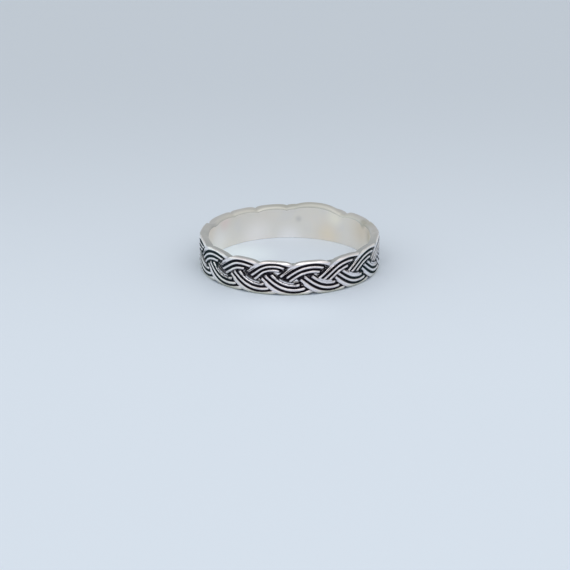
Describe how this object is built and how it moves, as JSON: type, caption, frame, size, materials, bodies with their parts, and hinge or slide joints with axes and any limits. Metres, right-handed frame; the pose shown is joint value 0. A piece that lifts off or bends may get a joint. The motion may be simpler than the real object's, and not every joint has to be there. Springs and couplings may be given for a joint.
{
  "type": "braided band ring",
  "caption": "Finger ring with a plain round hole and a flat three-strand plait in raised relief, with rounded ridges, dark grooves and scalloped edges.",
  "frame": {"origin": "middle of the ring's foot, on the surface it lies on", "axes": "+Z along the axis of the finger hole, upwards as the ring lies; -Y towards the front, the side seen in the picture; +X to the right of it"},
  "size_m": [0.0194, 0.0194, 0.0041],
  "materials": {
    "silver": "polished sterling silver, near-black oxidised grooves, satin finger hole"
  },
  "bodies": {
    "root": {"band": "silver"}
  },
  "joints": []
}
